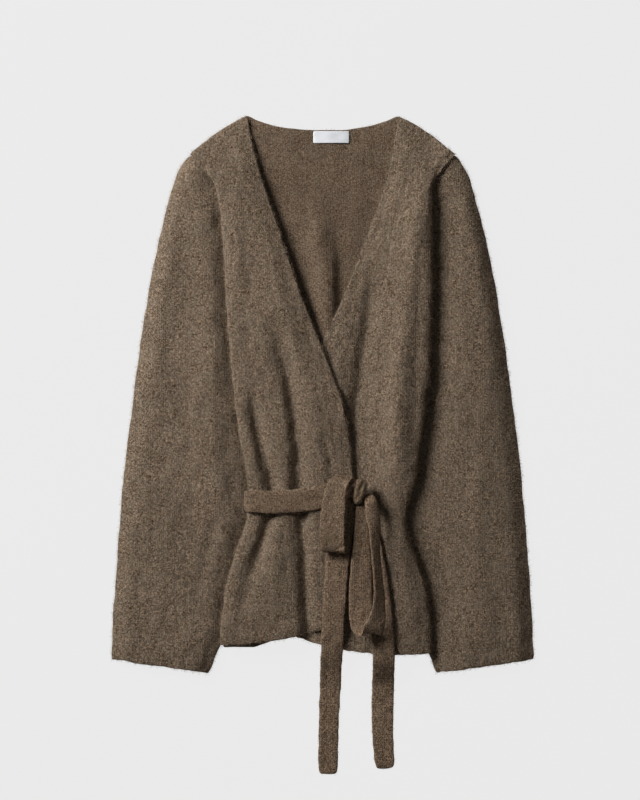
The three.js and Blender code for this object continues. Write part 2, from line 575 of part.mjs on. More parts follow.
function sleeveRing(panel, station) {
  const ends = [sleevePlan(station, 0), sleevePlan(station, 1)];
  const span = Math.hypot(ends[0].out - ends[1].out, ends[0].down - ends[1].down);
  const radius = (SLEEVE_EDGE_LAYER - FLOOR_LAYER) / 2;
  const inset = (CLOTH / 2 + radius) / span;
  const line = [];
  const add = (across, z) => {
    const plan = sleevePlan(station, across);
    line.push(place(panel.sign * plan.out, plan.down, z));
  };
  for (let i = 0; i < RING_UPPER; i += 1) {
    const across = lerp(inset, 1 - inset, i / RING_UPPER);
    const plan = sleevePlan(station, across);
    add(across, sleeveHeight(panel, plan.out, plan.down, (across - inset) * span, (1 - inset - across) * span));
  }
  for (let i = 0; i < RING_EDGE; i += 1) {
    const angle = (Math.PI * i) / RING_EDGE;
    add(1 - inset + (radius / span) * Math.sin(angle), FLOOR_LAYER + radius * (1 + Math.cos(angle)));
  }
  for (let i = 0; i < RING_LOWER; i += 1) add(lerp(1 - inset, inset, i / RING_LOWER), FLOOR_LAYER);
  for (let i = 0; i < RING_EDGE; i += 1) {
    const angle = (Math.PI * i) / RING_EDGE;
    add(inset - (radius / span) * Math.sin(angle), FLOOR_LAYER + radius * (1 - Math.cos(angle)));
  }
  return line;
}

function sleeve(name, panel) {
  const grid = [];
  for (let r = 0; r <= SLEEVE_RINGS; r += 1) grid.push(sleeveRing(panel, r / SLEEVE_RINGS));
  return piece(name, wall(grid, CLOTH, true), MELANGE);
}

// The back: a flat panel between the sleeves, cut to the neck, the shoulders, the armholes and the hem

const BACK_NECK_DROP = 17; // the neckline's lowest point under the high shoulder points
const BACK_CLEAR = 1.6; // between the back's sides and the sleeves
const BACK_HEM_DOWN = 640;
const BACK_HEM_LIFT = 14; // the hem is drawn up this much in the middle
const HEM_LIFTED = { from: 40, to: 85 }; // and falls to its corners between these
const NECK_ROUND = 2.6; // exponent of the neckline's curve
const CURVE_STEPS = 6; // for the neckline, the shoulder and the hem
const TIP_SHORT = 8; // the back stops this far inside the shoulder tip
const ARMHOLE_STEP = 13;
const SIDE_STEP = 20;

function back() {
  const right = [];
  for (let i = 0; i <= CURVE_STEPS; i += 1) {
    const x = (NECK_HALF * i) / CURVE_STEPS;
    right.push([x, BACK_NECK_DROP * (1 - (x / NECK_HALF) ** NECK_ROUND)]);
  }
  const tip = SHOULDER_OUT - TIP_SHORT;
  for (let i = 1; i <= CURVE_STEPS; i += 1) {
    const out = lerp(NECK_HALF, tip, i / CURVE_STEPS);
    right.push([out, shoulderDown(out)]);
  }
  for (let down = SHOULDER_DOWN + SIDE_STEP; down <= UNDERARM_DOWN; down += ARMHOLE_STEP) {
    right.push([read(ARMHOLE, "down", "out", down) - BACK_CLEAR, down]);
  }
  for (let down = UNDERARM_DOWN + SIDE_STEP; down < BACK_HEM_DOWN - SIDE_STEP / 2; down += SIDE_STEP) {
    right.push([read(SLEEVE_INNER, "down", "out", down) - BACK_CLEAR, down]);
  }
  const corner = read(SLEEVE_INNER, "down", "out", BACK_HEM_DOWN) - BACK_CLEAR - 1;
  for (let i = 0; i <= CURVE_STEPS; i += 1) {
    const x = corner * (1 - i / CURVE_STEPS);
    right.push([x, BACK_HEM_DOWN - BACK_HEM_LIFT * (1 - smoothstep(x, HEM_LIFTED.from, HEM_LIFTED.to))]);
  }
  const left = right.slice(1, -1).reverse().map(([x, down]) => [-x, down]);
  const shape = new THREE.Shape([...right, ...left].map(([x, down]) => new THREE.Vector2(x, NECK_Y - down)));
  return piece("back", new THREE.ExtrudeGeometry(shape, { depth: CLOTH, bevelEnabled: false }), MELANGE);
}

// The ties: flat strips along a smooth line, and the knot

const SLOPE_REACH = 0.05; // share of a row to either side from which a strip's direction is taken

function strip(name, rows, steps, sideways) {
  const table = numbered(rows);
  const last = table.length - 1;
  const at = (column, row) => read(table, "row", column, row);
  const middle = (row) => place(at("x", row), at("down", row), at("z", row));
  const grid = [];
  for (let i = 0; i <= steps; i += 1) {
    const row = (last * i) / steps;
    const ahead = middle(Math.min(row + SLOPE_REACH, last));
    const along = ahead.sub(middle(Math.max(row - SLOPE_REACH, 0))).normalize();
    const across = sideways.clone().addScaledVector(along, -sideways.dot(along)).normalize();
    across.applyAxisAngle(along, degToRad(at("tilt", row)));
    const raise = across.clone().cross(along).multiplyScalar(at("pinch", row));
    const half = at("width", row) / 2;
    grid.push(
      [-1, -0.5, 0, 0.5, 1].map((share) =>
        middle(row).addScaledVector(across, half * share).addScaledVector(raise, 0.5 - share ** 2),
      ),
    );
  }
  return piece(name, wall(grid, CLOTH), MELANGE);
}

const KNOT_FULLNESS = 0.75; // exponent: below 1 it is fuller than a ball at its corners

// The knot: a soft lump, wider towards the neck.
function knot() {
  const ball = new THREE.SphereGeometry(1, 16, 10);
  ball.deleteAttribute("normal");
  ball.deleteAttribute("uv");
  const closed = mergeVertices(ball, 1e-4);
  const position = closed.getAttribute("position");
  const fuller = (value) => Math.sign(value) * Math.abs(value) ** KNOT_FULLNESS;
  for (let i = 0; i < position.count; i += 1) {
    position.setXYZ(
      i,
      KNOT.halfWidth * fuller(position.getX(i)) * (1 + KNOT.taper * position.getY(i)),
      KNOT.halfLength * fuller(position.getY(i)),
      KNOT.halfHeight * fuller(position.getZ(i)),
    );
  }
  const mesh = piece("tie_knot", facingOut(closed), MELANGE);
  mesh.position.copy(place(KNOT.x, KNOT.down, KNOT.z));
  mesh.rotation.z = degToRad(KNOT.lean);
  return mesh;
}

function label() {
  const strip = new THREE.BoxGeometry(LABEL.width, LABEL.length, LABEL.thickness);
  const mesh = piece("neck_label", strip, LABEL_WHITE);
  mesh.position.copy(place(LABEL.x, LABEL.down, CLOTH + GAP + LABEL.thickness / 2));
  return mesh;
}

const ACROSS = new THREE.Vector3(1, 0, 0);
const LENGTHWAYS = new THREE.Vector3(0, 1, 0);

const cardigan = new THREE.Group();
cardigan.add(back());
cardigan.add(sleeve("sleeve_left", UNDER_FRONT));
cardigan.add(sleeve("sleeve_right", OVER_FRONT));
cardigan.add(front(UNDER_FRONT));
cardigan.add(front(OVER_FRONT));
cardigan.add(strip("tie_band", TIE_BAND, 22, LENGTHWAYS));
cardigan.add(strip("tie_loop_left", LOOP_LEFT, 30, ACROSS));
cardigan.add(strip("tie_loop_right", LOOP_RIGHT, 34, ACROSS));
cardigan.add(strip("tie_end_left", TIE_END_LEFT, 30, ACROSS));
cardigan.add(strip("tie_end_right", TIE_END_RIGHT, 30, ACROSS));
cardigan.add(knot());
cardigan.add(label());

export default cardigan;
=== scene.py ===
# A wrap cardigan in brushed wool, laid out flat on its back with its tie in a bow, seen from straight above.
import math

import bmesh
import bpy
import numpy as np
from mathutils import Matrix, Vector
from mathutils.bvhtree import BVHTree


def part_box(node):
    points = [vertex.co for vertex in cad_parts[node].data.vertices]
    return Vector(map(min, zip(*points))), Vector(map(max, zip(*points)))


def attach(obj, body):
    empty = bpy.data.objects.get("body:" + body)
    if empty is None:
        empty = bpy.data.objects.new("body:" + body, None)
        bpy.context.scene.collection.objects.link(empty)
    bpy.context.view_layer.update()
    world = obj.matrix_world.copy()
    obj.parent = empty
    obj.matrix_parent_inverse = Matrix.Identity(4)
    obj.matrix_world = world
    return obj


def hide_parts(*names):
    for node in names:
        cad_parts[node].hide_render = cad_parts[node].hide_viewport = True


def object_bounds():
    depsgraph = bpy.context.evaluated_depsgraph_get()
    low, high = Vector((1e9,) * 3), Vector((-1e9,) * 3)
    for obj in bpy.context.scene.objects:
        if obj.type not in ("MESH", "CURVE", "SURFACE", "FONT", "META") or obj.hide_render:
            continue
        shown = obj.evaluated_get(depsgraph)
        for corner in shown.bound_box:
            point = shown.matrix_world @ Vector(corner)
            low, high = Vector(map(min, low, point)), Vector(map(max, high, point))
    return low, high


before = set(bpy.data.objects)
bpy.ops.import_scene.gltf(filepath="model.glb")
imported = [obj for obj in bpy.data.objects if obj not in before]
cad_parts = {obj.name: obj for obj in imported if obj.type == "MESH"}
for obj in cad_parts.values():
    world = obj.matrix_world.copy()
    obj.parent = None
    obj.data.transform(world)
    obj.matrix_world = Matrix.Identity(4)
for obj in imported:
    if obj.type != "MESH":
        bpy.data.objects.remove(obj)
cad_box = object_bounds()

MM = 0.001
WELD = 0.002 * MM
FLAT_ANGLE = math.radians(1)
ONE_BAND = 0.314  # the scale at which a wave texture has one band in each unit of length


# Back panel: one flat piece of brushed wool knit, cut to the neck, shoulders, armholes and hem.
# Its inside is what shows in the V. It lies on the floor, and every other piece is sewn or laid on it.
# The knit is soft and about 3 mm thick, and its cut edges are turned, so they are round and a little uneven.

NECK_Y = cad_box[1][1]
STITCH_WIDE = 2.6 * MM
STITCH_TALL = 2.0 * MM
YARN_RELIEF = 0.9 * MM
PATCH = 11 * MM
CLOUD = 70 * MM
WAVES = 14  # how many are summed for one unevenness
PANEL_STEP = 12 * MM


def linear(hex_colour):
    """An sRGB hex colour as the linear colour that a shader takes."""
    parts = [int(hex_colour[i : i + 2], 16) / 255 for i in (1, 3, 5)]
    return (*[c / 12.92 if c <= 0.04045 else ((c + 0.055) / 1.055) ** 2.4 for c in parts], 1)


def add(tree, kind, inputs=None, **settings):
    """Adds one node: settings are its own choices, and inputs its sockets' values or what feeds them."""
    node = tree.nodes.new(kind)
    for name, value in settings.items():
        setattr(node, name, value)
    for socket, value in (inputs or {}).items():
        if isinstance(value, bpy.types.NodeSocket):
            tree.links.new(value, node.inputs[socket])
        else:
            node.inputs[socket].default_value = value
    return node


def colour_steps(tree, factor, *steps):
    """A colour ramp with a colour at each place from 0 to 1."""
    ramp = add(tree, "ShaderNodeValToRGB", {"Fac": factor})
    elements = ramp.color_ramp.elements
    while len(elements) < len(steps):
        elements.new(0.5)
    for element, (place, hex_colour) in zip(elements, steps):
        element.position = place
        element.color = linear(hex_colour)
    return ramp.outputs["Color"]


def wool_knit(name, fleck, deep, yarn, light, frost, frosting, sheen):
    """Melange wool: each yarn is spun from dark, middle and light fibres, so the colour breaks into flecks
    about as wide as a yarn, "fleck", and brushing lays a pale, uneven frost of loose fibres over them.
    Stitches show only as a faint relief under it. The pile gives a soft sheen at the turn of each fold."""
    material = bpy.data.materials.new(name)
    material.use_nodes = True
    tree = material.node_tree
    tree.nodes.clear()
    place = add(tree, "ShaderNodeTexCoord").outputs["Object"]
    yarns = add(
        tree,
        "ShaderNodeTexNoise",
        {"Vector": place, "Scale": 1 / fleck, "Detail": 2.4, "Roughness": 0.78},
    )
    flecks = colour_steps(tree, yarns.outputs["Fac"], (0.38, deep), (0.5, yarn), (0.62, light))
    patches = add(
        tree,
        "ShaderNodeTexNoise",
        {"Vector": place, "Scale": 1 / PATCH, "Detail": 3.0, "Roughness": 0.6},
    )
    cover = add(
        tree,
        "ShaderNodeMapRange",
        {
            "Value": patches.outputs["Fac"],
            "From Min": 0.36,
            "From Max": 0.66,
            "To Min": 0.0,
            "To Max": frosting,
        },
    )
    frosted = add(
        tree, "ShaderNodeMix", {0: cover.outputs["Result"], 6: flecks, 7: linear(frost)}, data_type="RGBA"
    )
    clouds = add(tree, "ShaderNodeTexNoise", {"Vector": place, "Scale": 1 / CLOUD, "Detail": 2.0})
    depth = add(
        tree,
        "ShaderNodeMapRange",
        {"Value": clouds.outputs["Fac"], "From Min": 0.3, "From Max": 0.7, "To Min": 0.88, "To Max": 1.1},
    )
    shaded = add(
        tree,
        "ShaderNodeVectorMath",
        {0: frosted.outputs[2], "Scale": depth.outputs["Result"]},
        operation="SCALE",
    )
    across = add(
        tree,
        "ShaderNodeTexWave",
        {
            "Vector": place,
            "Scale": ONE_BAND / STITCH_WIDE,
            "Distortion": 1.5,
            "Detail": 1.0,
            "Detail Scale": 2.0,
        },
        bands_direction="X",
    )
    along = add(
        tree,
        "ShaderNodeTexWave",
        {
            "Vector": place,
            "Scale": ONE_BAND / STITCH_TALL,
            "Distortion": 2.0,
            "Detail": 1.0,
            "Detail Scale": 2.0,
        },
        bands_direction="Y",
    )
    stitches = add(
        tree,
        "ShaderNodeMath",
        {0: across.outputs["Fac"], 1: along.outputs["Fac"]},
        operation="MULTIPLY",
    )
    relief = add(
        tree,
        "ShaderNodeMath",
        {0: stitches.outputs["Value"], 1: 0.35, 2: yarns.outputs["Fac"]},
        operation="MULTIPLY_ADD",
    )
    bump = add(
        tree,
        "ShaderNodeBump",
        {"Height": relief.outputs["Value"], "Strength": 0.8, "Distance": YARN_RELIEF},
    )
    wool = add(
        tree,
        "ShaderNodeBsdfPrincipled",
        {
            "Base Color": shaded.outputs["Vector"],
            "Roughness": 0.95,
            "Specular IOR Level": 0.15,
            "Sheen Weight": sheen,
            "Sheen Roughness": 0.45,
            "Sheen Tint": linear(light),
            "Normal": bump.outputs["Normal"],
        },
    )
    add(tree, "ShaderNodeOutputMaterial", {"Surface": wool.outputs["BSDF"]})
    return material


def soft_piece(node, name, levels):
    """The piece's solid as one smooth skin, with its faces paired into quads and its cut edges rounded."""
    skin = bmesh.new()
    skin.from_mesh(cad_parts[node].data)
    bmesh.ops.remove_doubles(skin, verts=skin.verts, dist=WELD)
    bmesh.ops.join_triangles(skin, faces=skin.faces, angle_face_threshold=1.2, angle_shape_threshold=1.3)
    return smoothed(skin, name, levels)


def smoothed(skin, name, levels):
    mesh = bpy.data.meshes.new(name)
    skin.to_mesh(mesh)
    skin.free()
    piece = bpy.data.objects.new(name, mesh)
    bpy.context.scene.collection.objects.link(piece)
    rounding = piece.modifiers.new("rounding", "SUBSURF")
    rounding.levels = levels
    rounding.render_levels = levels
    seen = bpy.context.evaluated_depsgraph_get()
    piece.data = bpy.data.meshes.new_from_object(piece.evaluated_get(seen))
    piece.modifiers.clear()
    piece.data.name = name
    piece.data.shade_smooth()
    return piece


def points_of(piece):
    flat = np.empty(len(piece.data.vertices) * 3)
    piece.data.vertices.foreach_get("co", flat)
    return flat.reshape(-1, 3)


def set_points(piece, points):
    piece.data.vertices.foreach_set("co", points.ravel())
    piece.data.update()


def unevenness(points, size, seed):
    """A smooth waviness from -1 to 1 or so, as handwork and wear give, with waves about this long."""
    chance = np.random.default_rng(seed)
    total = np.zeros(len(points))
    for _ in range(WAVES):
        direction = chance.normal(size=3)
        direction /= np.linalg.norm(direction)
        length = size * chance.uniform(0.7, 1.5)
        total += np.sin(points @ direction * (2 * np.pi / length) + chance.uniform(0, 2 * np.pi))
    return total / math.sqrt(WAVES)


def soften(piece, amount, size, seed):
    """Moves the surface a little in each direction, so that no edge is ruler straight."""
    points = points_of(piece)
    shift = np.stack([unevenness(points, size, seed + axis) for axis in range(3)], axis=1)
    moved = points + shift * amount
    moved[:, 2] = np.maximum(moved[:, 2], np.minimum(points[:, 2], 0.1 * MM))
    set_points(piece, moved)


def smooth_step(value, low, high):
    t = np.clip((value - low) / (high - low), 0, 1)
    return t * t * (3 - 2 * t)


def creases(points, rows):
    """How much the cloth rises at each point for a list of soft ridges and troughs in millimetres.
    Each runs between two places, given as x and the distance down from the shoulder, with a width and a height.
    "sharp" is its narrower width on the side towards the viewer's right, where it has one."""
    x = points[:, 0] / MM
    down = (NECK_Y - points[:, 1]) / MM
    rise = np.zeros(len(points))
    for row in rows:
        (x0, d0), (x1, d1) = row["start"], row["end"]
        length = math.hypot(x1 - x0, d1 - d0)
        ux, ud = (x1 - x0) / length, (d1 - d0) / length
        along = ((x - x0) * ux + (down - d0) * ud) / length
        bend = row.get("bend", 0) * 4 * along * (1 - along)
        aside = (x - x0) * -ud + (down - d0) * ux - bend
        fade = smooth_step(along, -0.15, 0.25) * (1 - smooth_step(along, 0.7, 1.15))
        width = np.where(aside < 0, row.get("sharp", row["width"]), row["width"])
        rise += row["height"] * fade * np.exp(-((aside / width) ** 2))
    return rise * MM


def dress(piece, node, material):
    """Gives a piece its material, hangs it under the root body, and hides the solid it stands for."""
    piece.data.materials.clear()
    piece.data.materials.append(material)
    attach(piece, "root")
    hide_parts(node)


def gridded(node, cuts):
    """The solid's flat faces, cut into a grid that can round at the edges. The cuts are two lists of places,
    along X and along Y."""
    skin = bmesh.new()
    skin.from_mesh(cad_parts[node].data)
    bmesh.ops.remove_doubles(skin, verts=skin.verts, dist=WELD)
    bmesh.ops.dissolve_limit(skin, angle_limit=FLAT_ANGLE, verts=skin.verts, edges=skin.edges)
    for normal, places in zip((Vector((1, 0, 0)), Vector((0, 1, 0))), cuts):
        for place in places:
            everything = skin.verts[:] + skin.edges[:] + skin.faces[:]
            bmesh.ops.bisect_plane(skin, geom=everything, plane_co=normal * place, plane_no=normal)
    return skin


def back_panel():
    cuts = []
    for low, high in list(zip(*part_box("back")))[:2]:
        cuts.append([low + i * PANEL_STEP for i in range(1, math.ceil((high - low) / PANEL_STEP))])
    return smoothed(gridded("back", cuts), "back_knit", 2)


SHOULDER_SEAM = ((47, 160), (53, 151.5), (61, 143.8), (72, 134.5), (88, 124.5))  # down and out, in mm
SEAM_REACH = 9 * MM
SEAM_DRAWN = 3 * MM
SEAM_PULL = (0.75, 0.65)  # its shares across and up
SEAM_FADES = (66 * MM, 90 * MM)  # how far down it ends
TIP_REACH = 15 * MM


def meet_at_shoulder(points, side):
    """Draws the cloth next to the shoulder's end of the armhole seam to the seam, where two pieces are sewn
    together: side is 1 for the sleeve, which comes from outside it, and -1 for the front and the back."""
    down, out = (np.array(column) * MM for column in zip(*SHOULDER_SEAM))
    here = NECK_Y - points[:, 1]
    outside = (np.abs(points[:, 0]) - np.interp(here, down, out)) * side
    near = (1 - smooth_step(np.abs(outside), 0, SEAM_REACH)) * (1 - smooth_step(here, *SEAM_FADES))
    shift = SEAM_DRAWN * near * -side
    tip = 1 - smooth_step(np.hypot(np.abs(points[:, 0]) - out[0], here - down[0]), 0, TIP_REACH)
    points[:, 0] += np.sign(points[:, 0]) * shift * SEAM_PULL[0]
    points[:, 1] -= shift * SEAM_PULL[1] * (1 - tip)


BACK_CORNER = (151.6 * MM, 42 * MM)  # the shoulder's end of the back, out and down
CORNER_REACH = 22 * MM
CORNER_DRAWN = (6.8 * MM, 5.4 * MM)


def corner_to_seam(points):
    """Draws the back's shoulder corner out under the front's, to where the sleeve is sewn on."""
    aside = np.abs(points[:, 0]) - BACK_CORNER[0]
    below = NECK_Y - points[:, 1] - BACK_CORNER[1]
    pull = 1 - smooth_step(np.hypot(aside, below), 0, CORNER_REACH)
    points[:, 0] += np.sign(points[:, 0]) * pull * CORNER_DRAWN[0]
    points[:, 1] -= pull * CORNER_DRAWN[1]


BACK_CREASES = [
    {"start": (-7, 110), "end": (4, 280), "width": 12, "height": 6.5, "sharp": 14},
    {"start": (11, 160), "end": (14, 290), "width": 12, "height": 4.5, "sharp": 5},
    {"start": (-40, 40), "end": (-22, 150), "width": 9, "height": 1.0, "bend": 4},
    {"start": (44, 60), "end": (30, 170), "width": 10, "height": 0.9, "bend": -3},
]
BODY_WOOL = wool_knit("brushed_wool_melange", 2.2 * MM, "#3c2e22", "#715e4d", "#a8917a", "#8e8374", 0.4, 0.35)
# The inside wool is darker and less frosted than the outside: partly the real, less brushed reverse face of the
# knit, and partly painted shade for the back, which lies low in the V between the raised fronts.
INSIDE_WOOL_AND_PAINTED_SHADE = wool_knit("wool_knit_inside", 1.8 * MM, "#433429", "#695645", "#8e7a66", "#7f7363", 0.3, 0.2)
BACK = back_panel()
points = points_of(BACK)
showing = points[:, 2] > 0.5 * MM
points[:, 2] += creases(points, BACK_CREASES) * showing
meet_at_shoulder(points, -1)
corner_to_seam(points)
set_points(BACK, points)
soften(BACK, 0.35 * MM, 30 * MM, 11)
dress(BACK, "back", INSIDE_WOOL_AND_PAINTED_SHADE)


# Sleeves: wide tubes of the same knit, sewn in at the armholes and left ungathered at the cuffs.
# They lie flattened, with soft lengthways swells where the upper layer stands off the lower one.

SLEEVE_RIGHT_CREASES = [
    {"start": (-172, 100), "end": (-196, 330), "width": 9, "height": 1.2, "bend": 6},
    {"start": (-214, 260), "end": (-232, 520), "width": 10, "height": -1.0, "bend": -4},
    {"start": (-150, 300), "end": (-140, 500), "width": 8, "height": 1.4, "bend": 5},
    {"start": (-186, 420), "end": (-205, 640), "width": 12, "height": 1.0, "bend": -5},
    {"start": (-124, 470), "end": (-150, 600), "width": 7, "height": -1.2, "bend": 3},
    {"start": (-225, 600), "end": (-160, 640), "width": 9, "height": 0.8, "bend": 3},
]
SLEEVE_LEFT_CREASES = [
    {"start": (176, 110), "end": (200, 360), "width": 9, "height": 1.2, "bend": -6},
    {"start": (190, 290), "end": (180, 470), "width": 9, "height": 1.2, "bend": -4},
    {"start": (218, 300), "end": (236, 560), "width": 11, "height": -0.9, "bend": 5},
    {"start": (190, 430), "end": (200, 640), "width": 13, "height": 1.1, "bend": 6},
    {"start": (128, 480), "end": (158, 610), "width": 8, "height": -1.2, "bend": -3},
]
LAID_FLAT = 4.5 * MM
SLEEVES = {}
for side, rows, seed in (("right", SLEEVE_RIGHT_CREASES, 21), ("left", SLEEVE_LEFT_CREASES, 31)):
    sleeve = soft_piece(f"sleeve_{side}", f"sleeve_{side}_knit", 2)
    points = points_of(sleeve)
    points[:, 2] += creases(points, rows) * smooth_step(points[:, 2], LAID_FLAT, LAID_FLAT + 3 * MM)
    meet_at_shoulder(points, 1)
    set_points(sleeve, points)
    soften(sleeve, 0.45 * MM, 26 * MM, seed)
    soften(sleeve, 0.25 * MM, 8 * MM, seed + 5)
    dress(sleeve, f"sleeve_{side}", BODY_WOOL)
    SLEEVES[side] = sleeve


# Fronts: each is cut from the neck to the hem in one piece, sewn to the back at the shoulder and the side.
# The sides roll over softly and are turned under. The wearer's right front lies over the left one, and the
# tie draws both in at the waist, so pleats run up and down from it.

FRONT_CREASES = [
    {"start": (-56, 270), "end": (-29, 500), "width": 7, "height": -3.2, "bend": -8, "sharp": 6},
    {"start": (-88, 345), "end": (-54, 480), "width": 6, "height": -3, "bend": 0, "sharp": 7},
    {"start": (-62, 470), "end": (-90, 560), "width": 6, "height": -3, "bend": 0, "sharp": 6},
    {"start": (-27, 450), "end": (-16, 660), "width": 7, "height": -3.5, "bend": 0, "sharp": 6},
    {"start": (62, 180), "end": (35, 400), "width": 8, "height": -6, "bend": 0, "sharp": 14},
    {"start": (116, 160), "end": (106, 400), "width": 17, "height": -3, "bend": 0, "sharp": 8},
    {"start": (86, 75), "end": (60, 160), "width": 2.2, "height": -0.8, "bend": 0},
    {"start": (-104, 90), "end": (-92, 250), "width": 8, "height": 1.1, "bend": 3},
    {"start": (-62, 150), "end": (-30, 290), "width": 7, "height": 0.9, "bend": 2},
    {"start": (-90, 180), "end": (-86, 300), "width": 7, "height": -0.9, "bend": 2},
    {"start": (-90, 300), "end": (-76, 420), "width": 7, "height": 1.2, "bend": 3},
    {"start": (-50, 300), "end": (-28, 440), "width": 5, "height": 1.3, "bend": 2},
    {"start": (-18, 330), "end": (4, 450), "width": 7, "height": 0.9, "bend": -2},
    {"start": (0, 380), "end": (20, 450), "width": 5, "height": -1.2, "bend": 2},
    {"start": (-56, 480), "end": (-60, 600), "width": 8, "height": 1.3, "bend": -3},
    {"start": (-98, 500), "end": (-106, 610), "width": 7, "height": 1.2, "bend": 3},
    {"start": (-14, 490), "end": (-8, 600), "width": 7, "height": 1.0, "bend": 2},
    {"start": (116, 80), "end": (112, 250), "width": 8, "height": -0.8, "bend": -2},
    {"start": (84, 170), "end": (60, 300), "width": 8, "height": 1.0, "bend": -3},
    {"start": (92, 280), "end": (80, 420), "width": 7, "height": 1.0, "bend": -2},
    {"start": (60, 320), "end": (52, 440), "width": 6, "height": -1.0, "bend": 3},
    {"start": (84, 480), "end": (106, 620), "width": 8, "height": 1.2, "bend": -4},
    {"start": (46, 500), "end": (40, 630), "width": 8, "height": -1.0, "bend": 2},
]
TURNED_UNDER = 11.6 * MM

FRONTS = {}
for side, seed in (("left", 41), ("right", 51)):
    front = soft_piece(f"front_{side}", f"front_{side}_knit", 2)
    points = points_of(front)
    inner = 1 - smooth_step(np.abs(points[:, 0]), 62 * MM, 78 * MM)
    upper = smooth_step(points[:, 2], TURNED_UNDER, TURNED_UNDER + 3 * MM)
    points[:, 2] += creases(points, FRONT_CREASES) * np.maximum(inner, upper)
    meet_at_shoulder(points, -1)
    set_points(front, points)
    soften(front, 0.4 * MM, 24 * MM, seed)
    soften(front, 0.25 * MM, 8 * MM, seed + 5)
    dress(front, f"front_{side}", BODY_WOOL)
    FRONTS[side] = front


# Tie: a flat strip of finer, firmer knit, with less pile on it. It comes round the wearer's right side,
# and is tied at the front in a bow whose loops and ends hang down over the hem.

TIE_WOOL = wool_knit("tie_wool_knit", 1.9 * MM, "#46362b", "#79634f", "#a68d75", "#8f806f", 0.25, 0.25)
TIE_CUTS = {
    "tie_band": (0.029, 0.145, "stretched", ["front_right_knit"]),
    "tie_loop_left": (0.030, 0.185, "folded", ["tie_band_knit"]),
    "tie_loop_right": (0.029, 0.330, "folded", ["tie_end_right_knit"]),
    "tie_end_left": (0.029, 0.335, "hung", ["front_right_knit"]),
    "tie_end_right": (0.029, 0.330, "hung", ["front_left_knit"]),
    "tie_knot": (0.029, 0.032, "folded", ["tie_band_knit"]),
}
KNOT_CREASES = [
    {"start": (51, 437), "end": (42, 452), "width": 1.9, "height": -2.6},
    {"start": (46, 450), "end": (38, 463), "width": 1.7, "height": -2.2},
]
TIES = {}
for seed, (node, (wide, long, held, under)) in enumerate(TIE_CUTS.items(), 61):
    strip = soft_piece(node, f"{node}_knit", 2)
    if node == "tie_knot":
        points = points_of(strip)
        points[:, 2] += creases(points, KNOT_CREASES)
        set_points(strip, points)
    soften(strip, 0.35 * MM, 16 * MM, seed)
    dress(strip, node, TIE_WOOL)
    TIES[node] = strip


# Raised fibres: brushing pulls the ends of the wool out of the yarn all over the outside of the body and
# sleeves, and a few out of the tie. They lie at a low angle in all directions, and blur each edge and seam.

def wool_fibre(name, dark, light):
    """Single wool fibres: a thin, matt hair, from dark to pale along the melange."""
    material = bpy.data.materials.new(name)
    material.use_nodes = True
    tree = material.node_tree
    tree.nodes.clear()
    each = add(tree, "ShaderNodeNewGeometry").outputs["Random Per Island"]
    tone = colour_steps(tree, each, (0.0, dark), (1.0, light))
    hair = add(
        tree,
        "ShaderNodeBsdfPrincipled",
        {"Base Color": tone, "Roughness": 0.9, "Specular IOR Level": 0.1},
    )
    add(tree, "ShaderNodeOutputMaterial", {"Surface": hair.outputs["BSDF"]})
    return material


FIBRE_LIFT = (0.12, 0.75)  # the angle at which one leaves the cloth, in radians
FIBRE_DROOP = 0.6
FIBRE_WANDER = 0.35
FIBRE_SPREAD = (0.5, 1.35)  # shortest and longest, as shares of the usual length
FIBRE_HALF_WIDTH = (0.05, 0.1)
FIBRE_ROOT = 0.3 * MM
ABOVE_FLOOR = 0.2 * MM
FACES_DOWN = -0.45
OPEN_ABOVE = 9 * MM


def open_faces(piece, others):
    """The triangles of a piece that face the air, with their corners, normals and areas.
    Those that lie on the floor or close under another layer carry no fibres that could show."""
    mesh = piece.data
    mesh.calc_loop_triangles()
    corners = np.empty(len(mesh.loop_triangles) * 3, dtype=np.int64)
    mesh.loop_triangles.foreach_get("vertices", corners)
    corners = points_of(piece)[corners].reshape(-1, 3, 3)
    normals = np.cross(corners[:, 1] - corners[:, 0], corners[:, 2] - corners[:, 0])
    areas = np.linalg.norm(normals, axis=1) / 2
    normals /= np.maximum(areas[:, None] * 2, 1e-12)
    middles = corners.mean(axis=1)
    open_air = normals[:, 2] > FACES_DOWN
    for i in np.flatnonzero(open_air):
        start = Vector(middles[i] + normals[i] * 0.5 * MM)
        open_air[i] = others.ray_cast(start, Vector(normals[i]), OPEN_ABOVE)[0] is None
    return corners[open_air], normals[open_air], areas[open_air]


